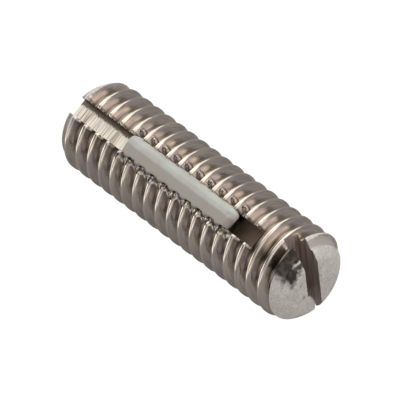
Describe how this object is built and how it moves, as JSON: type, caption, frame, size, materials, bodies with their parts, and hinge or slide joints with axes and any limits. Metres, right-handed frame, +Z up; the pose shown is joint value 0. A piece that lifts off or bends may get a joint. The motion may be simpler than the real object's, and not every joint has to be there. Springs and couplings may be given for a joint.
{
  "type": "slotted grub set screw with nylon locking strip",
  "caption": "Headless slotted set screw with a right-hand thread, a flat point, and a nylon locking strip pressed into a groove along the thread.",
  "frame": {"origin": "on the surface the screw lies on, below the middle of its length and of its width", "axes": "+X along the screw's axis towards the slotted end, +Z up out of the groove with the strip, the flat point faces -X"},
  "size_m": [0.02, 0.006, 0.006],
  "materials": {
    "stainless_steel": "turned and thread-rolled stainless steel, lightly tumbled, with milled groove and slot",
    "nylon": "natural nylon, milky and slightly translucent, satin"
  },
  "bodies": {
    "root": {"screw_body": "stainless_steel", "locking_strip": "nylon"}
  },
  "joints": []
}
